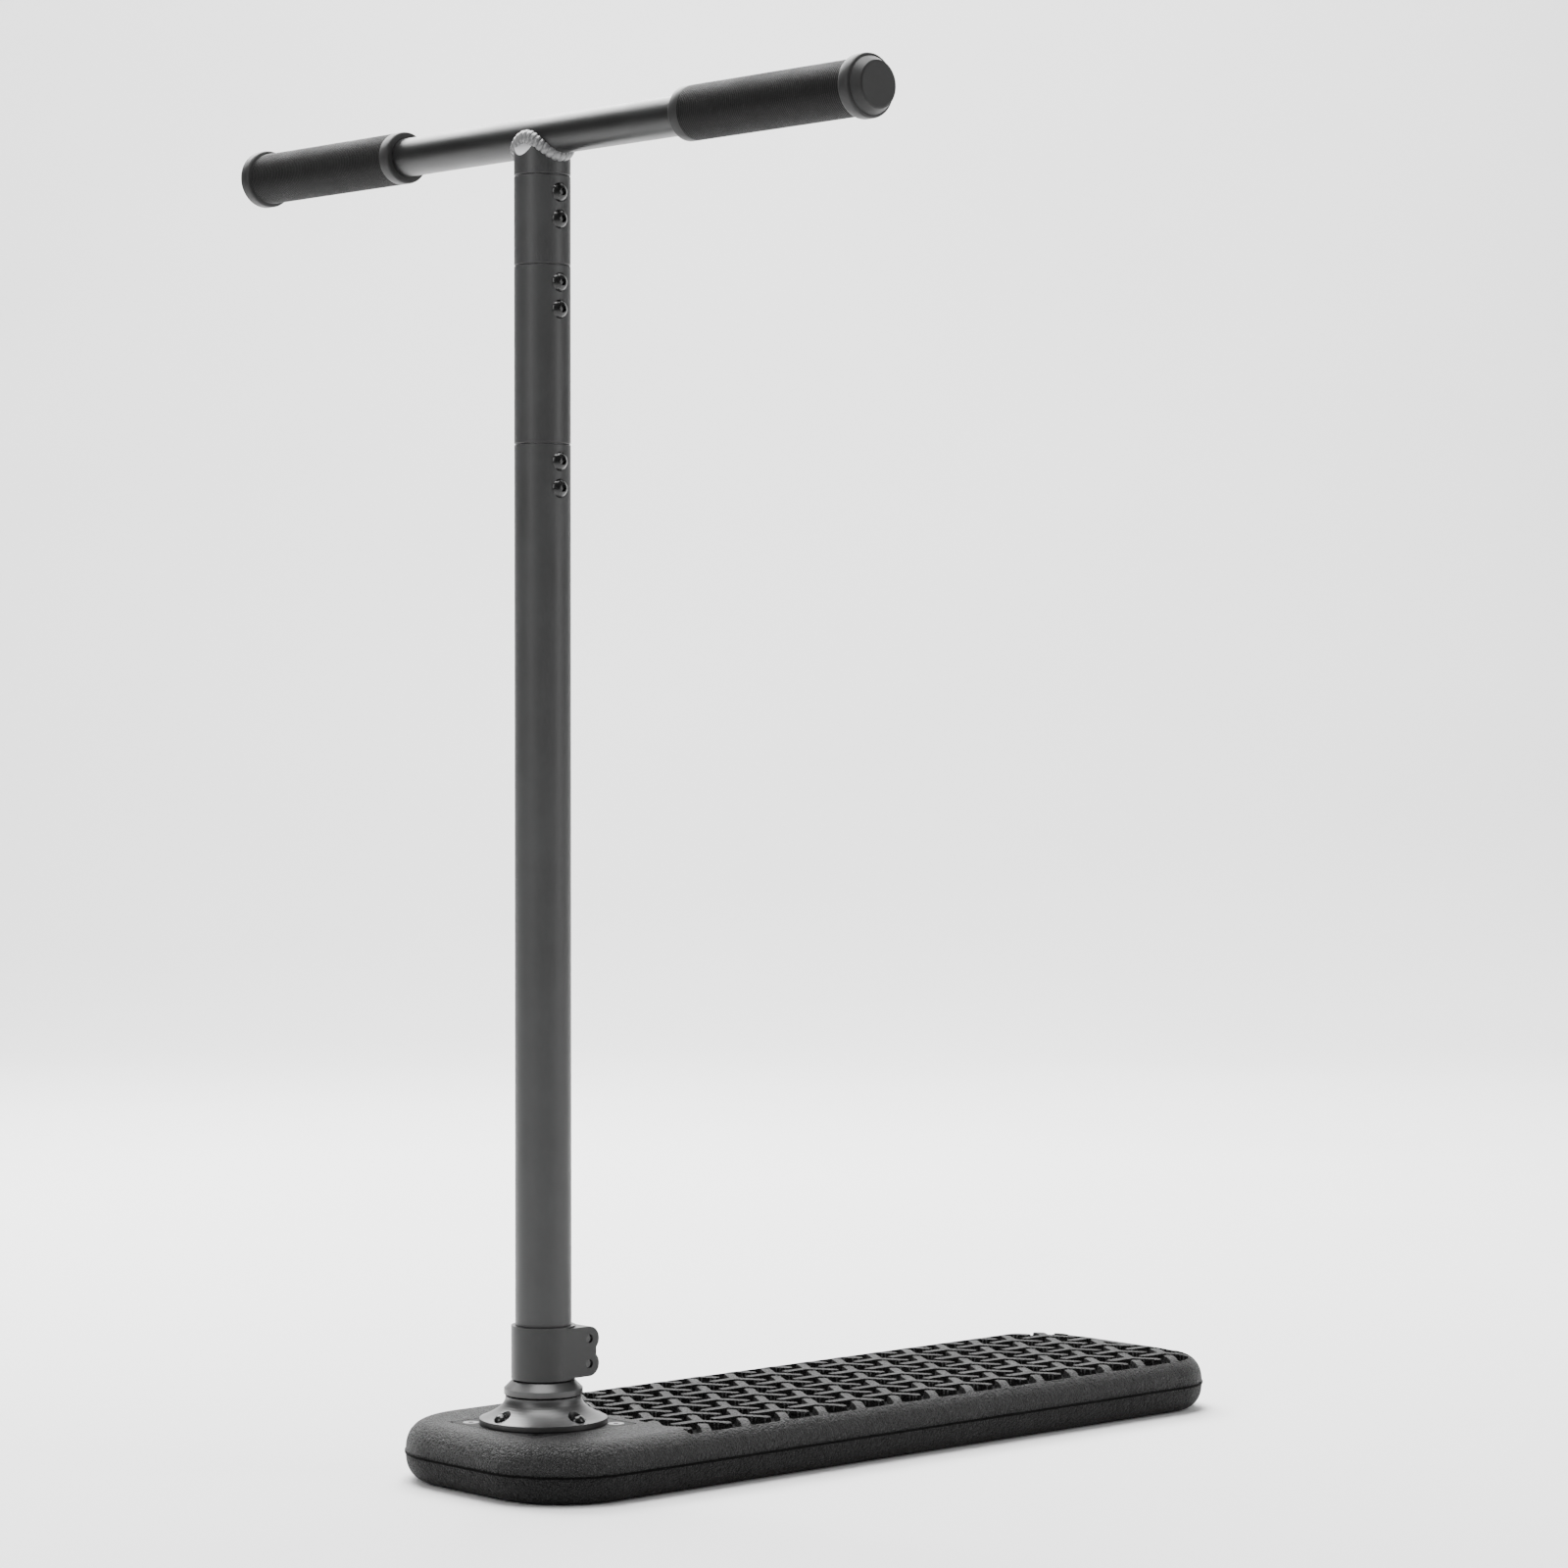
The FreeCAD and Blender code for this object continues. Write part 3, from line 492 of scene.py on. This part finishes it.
def plywood(name):
    r = Recipe(name)
    rings = r.noise(1.0, 5.0, 0.6, r.stretched((6.0, 90.0, 40.0)))
    plies = r.add("ShaderNodeTexWave", wave_type="BANDS", bands_direction="Z")
    plies.inputs["Scale"].default_value = 210.0
    r.link(r.place, plies.inputs["Vector"])
    both = r.combine(r.combine(rings, 0.7, "MULTIPLY"), r.combine(plies.outputs["Fac"], 0.3, "MULTIPLY"))
    r.colour(both, [(0.2, (0.26, 0.15, 0.07)), (0.55, (0.48, 0.31, 0.16)), (0.85, (0.62, 0.44, 0.26))])
    r.relief(rings, 0.2, 0.0002)
    r.rough(rings, 0.5, 0.7)
    return r.material


MATERIALS = {
    "deck_foam": foam("deck_foam", 0.0048, 0.5),
    "deck_foam_lower": foam("deck_foam_lower", 0.0036, 0.56, shine=0.2),
    "seam_rubber": rubber("seam_rubber", 0.001, 0.7, shine=0.05),
    "board_wood": plywood("board_wood"),
    "base_steel": paint("base_steel", 0.005, 0.6, grain=700.0, shine=0.08),
    "black_screws": paint("black_screws", 0.005, 0.24, coat=0.15, grain=2200.0, relief=0.12),
    "backing_steel": bare_metal("backing_steel", (0.42, 0.42, 0.43), 0.4),
    "cup_metal": paint("cup_metal", 0.02, 0.4, grain=1500.0, relief=0.1, shine=0.75),
    "race_steel": bare_metal("race_steel", (0.6, 0.6, 0.61), 0.22),
    "ball_steel": bare_metal("ball_steel", (0.78, 0.78, 0.79), 0.1),
    "cage_brass": bare_metal("cage_brass", (0.72, 0.53, 0.26), 0.3),
    "spindle_steel": bare_metal("spindle_steel", (0.45, 0.45, 0.46), 0.35),
    "collar_metal": paint("collar_metal", 0.016, 0.42, grain=1100.0),
    "pole_paint": paint("pole_paint", 0.03, 0.44),
    "bar_paint": paint("bar_paint", 0.006, 0.4, shine=0.45),
    "weld_metal": paint("weld_metal", 0.12, 0.28, grain=1500.0, shine=0.8),
    "grip_rubber": rubber("grip_rubber", 0.006, 0.5),
    "plug_plastic": rubber("plug_plastic", 0.022, 0.5),
}
# The stub's paint has a painted highlight on the slanting faces at its top.
STUB_PAINT = paint("stub_paint", 0.03, 0.42, highlight_facets=True)
# Painted shade: the tread pockets get a darker, duller copy of the deck foam.
POCKET_SHADE_FOAM = foam("pocket_painted_shade_foam", 0.0016, 0.7, shine=0.06)
GRIP_BAND = rubber("grip_band", 0.024, 0.48)

for entry in frame["record"]["subparts"]:
    node = frame["nodes"][entry["node"]]
    for holder in node.material_slots:
        holder.material = STUB_PAINT if entry["node"] == "head_stub" else MATERIALS[entry["material_slot"]]


# ---------------------------------------------------------------- pieces built here
def finish_piece(piece, node, body, slot_name):
    piece.data.materials.append(MATERIALS[slot_name])
    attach(piece, body)
    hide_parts(node)


def paint_bands(sleeve):
    """The plain band and the flange of a grip are a paler rubber than its ribs."""
    sleeve.data.materials.append(GRIP_BAND)
    for face in sleeve.data.polygons:
        y = abs(face.center.y) / MM
        if y < GRIP_START + 7.9 or y > GRIP_END - 8.1:
            face.material_index = 1


top, pocket_shade_faces = top_shell()
finish_piece(top, "upper_foam_shell", "deck", "deck_foam")
# Painted shade on the pocket floors and walls.
top.data.materials.append(POCKET_SHADE_FOAM)
top.data.polygons.foreach_set("material_index", pocket_shade_faces)
bottom = bottom_shell()
finish_piece(bottom, "lower_foam_shell", "deck", "deck_foam_lower")
for side, hand in ((1, "right"), (-1, "left")):
    sleeve = ribbed_grip(f"grip_{hand}_ribbed", side)
    finish_piece(sleeve, f"grip_{hand}", "handlebar", "grip_rubber")
    paint_bands(sleeve)
finish_piece(rippled_weld(), "weld_bead", "handlebar", "weld_metal")


# ---------------------------------------------------------------- stage, light and camera
def studio_floor():
    """A pale floor that sweeps up behind the part, square to the camera."""
    forward, across = np.array([0.6725, 0.7401]), np.array([0.7401, -0.6725])
    profile = [(-6.0, 0.0), (3.0, 0.0)]
    profile += [(3.0 + 2.0 * math.sin(a), 2.0 - 2.0 * math.cos(a)) for a in np.linspace(0.1, math.pi / 2, 14)]
    profile.append((5.0, 7.0))
    vertices, faces = [], []
    for depth, height in profile:
        for side in (-9.0, 9.0):
            p = forward * depth + across * side
            vertices.append((p[0] / MM, p[1] / MM, height / MM))
    for i in range(len(profile) - 1):
        faces.append([2 * i, 2 * i + 1, 2 * i + 3, 2 * i + 2])
    floor = make_object("studio_floor", np.array(vertices), faces)
    r = Recipe("studio_white")
    r.colour(r.noise(1.5, 2.0), [(0.3, grey(0.9)), (0.7, grey(0.93))])
    r.set(Roughness=0.9, Specular_IOR_Level=0.1)
    floor.data.materials.append(r.material)


def softbox(name, place, aim, width, height, power):
    light = bpy.data.lights.new(name, "AREA")
    light.shape, light.size, light.size_y, light.energy = "RECTANGLE", width, height, power
    holder = bpy.data.objects.new(name, light)
    bpy.context.scene.collection.objects.link(holder)
    holder.location = place
    direction = np.array(aim) - np.array(place)
    direction = direction / np.linalg.norm(direction)
    holder.rotation_euler = (math.acos(-direction[2]), 0.0, math.atan2(-direction[0], direction[1]))
    return holder


studio_floor()
softbox("overhead", (0.0, 0.1, 2.3), (0.1, 0.0, 0.0), 1.3, 1.3, 80.0)
softbox("high_behind", (0.85, 1.8, 2.2), (0.0, 0.0, 0.6), 2.4, 1.0, 150.0)
softbox("front_left", (-2.3, -0.1, 1.5), (0.0, 0.0, 0.4), 0.8, 1.8, 28.0)
softbox("front_right", (1.1, -1.8, 1.1), (0.0, 0.0, 0.4), 0.6, 1.8, 20.0)
softbox("backdrop_wash", (1.4, 1.55, 3.4), (3.0, 3.3, 0.9), 3.0, 1.5, 330.0)

world = bpy.data.worlds.new("studio_air")
world.use_nodes = True
world.node_tree.nodes["Background"].inputs["Color"].default_value = (1.0, 1.0, 1.0, 1.0)
world.node_tree.nodes["Background"].inputs["Strength"].default_value = 0.16
bpy.context.scene.world = world

lens = bpy.data.cameras.new("camera")
lens.sensor_width, lens.lens, lens.clip_start, lens.clip_end = 36.0, 99.2, 0.05, 60.0
lens.dof.use_dof = False
camera = bpy.data.objects.new("camera", lens)
camera.location = (-1.5340, -1.8899, 0.4338)
camera.rotation_euler = (math.radians(90 - 0.935), 0.0, -math.atan2(0.6725, 0.7401))
bpy.context.scene.collection.objects.link(camera)
bpy.context.scene.camera = camera
